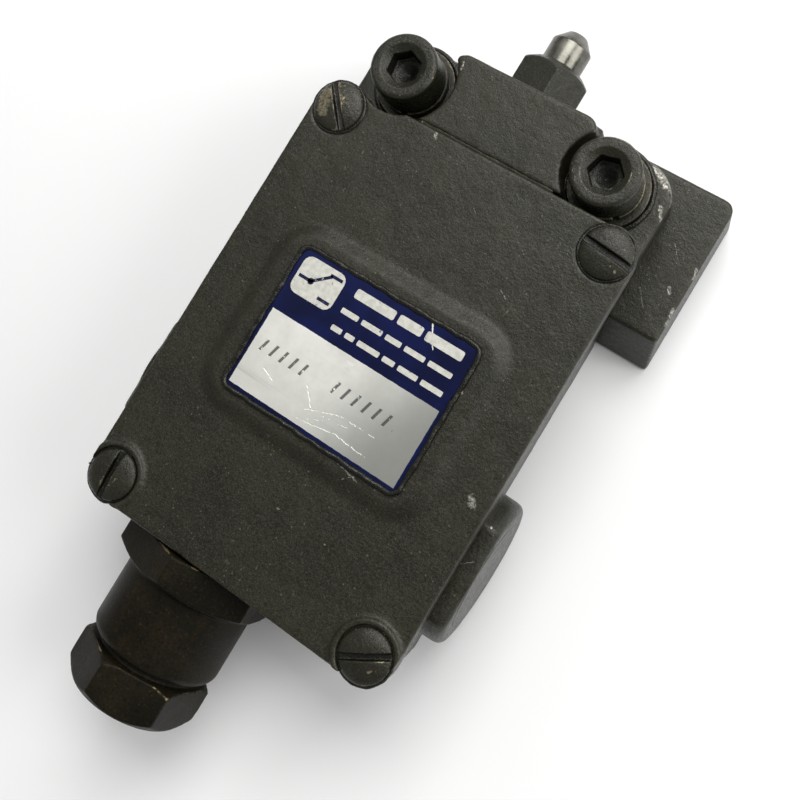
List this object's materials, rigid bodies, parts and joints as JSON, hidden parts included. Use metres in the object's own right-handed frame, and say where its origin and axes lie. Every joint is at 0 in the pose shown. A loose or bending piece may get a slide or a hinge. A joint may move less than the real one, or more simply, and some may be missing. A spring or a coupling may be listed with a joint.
{
  "type": "limit switch",
  "caption": "Metal-cased limit switch with a bevel-tipped push plunger, screwed cover, side cable entries, a bottom cable gland and socket-head fixing screws in a mounting bar.",
  "frame": {"origin": "centre of the rear face, midway between the four cover screws", "axes": "+X to the right seen from the cover, +Y along the plunger towards its tip, +Z out through the cover"},
  "size_m": [0.0816, 0.1583, 0.0377],
  "materials": {
    "painted_case": "semi-matt hammered enamel, chipped at edges",
    "painted_fasteners": "enamel worn through to yellow zinc plate",
    "oxidised_brass": "dark oxidised, bare on the edges",
    "nameplate_face": "printed and brushed",
    "bright_steel": "ground",
    "zinc_steel": "zinc plated",
    "spring_steel": "drawn wire",
    "black_rubber": "matt",
    "phenolic": "moulded",
    "contact_brass": "rolled strip with silver tips"
  },
  "bodies": {
    "case": {"housing": "painted_case", "cover": "painted_case", "cover_gasket": "black_rubber", "cover_screws": "painted_fasteners", "nameplate": "nameplate_face", "mounting_bar": "painted_case", "fixing_screws": "painted_fasteners", "spring_washers": "painted_fasteners", "flat_washers": "painted_fasteners", "gland_body": "oxidised_brass", "gland_sealing_ring": "black_rubber", "gland_seal": "black_rubber", "gland_thrust_ring": "zinc_steel", "gland_nut": "oxidised_brass", "blanking_plug_left": "painted_case", "blanking_plug_right": "painted_case", "plug_seals": "black_rubber", "plunger_guide": "painted_case", "plunger_wiper": "black_rubber", "return_spring": "spring_steel", "contact_base": "phenolic", "contact_cover": "phenolic", "contact_cover_screws": "zinc_steel", "insert_screws": "zinc_steel", "contacts_nc": "contact_brass", "contacts_no": "contact_brass", "terminal_clamps": "zinc_steel", "terminal_screws": "zinc_steel", "earth_clamp": "contact_brass", "earth_screw": "contact_brass"},
    "plunger_unit": {"plunger": "bright_steel", "plunger_stop_ring": "zinc_steel", "contact_carrier": "phenolic", "contact_spring": "spring_steel"},
    "bridge_unit": {"contact_bridge": "contact_brass"}
  },
  "joints": [
    {"name": "plunger_travel", "type": "slide", "parent": "case", "child": "plunger_unit", "axis": [0, -1, 0], "range_m": [0, 0.0055], "stiffness_N_per_m": 1500, "springref_m": -0.008, "deforming": ["return_spring"]},
    {"name": "bridge_travel", "type": "slide", "parent": "case", "child": "bridge_unit", "axis": [0, -1, 0], "range_m": [0, 0.003], "deforming": ["contact_spring"]}
  ],
  "couplings": [
    {"joint": "bridge_travel", "follows": "plunger_travel", "ratio": 0.54546}
  ]
}
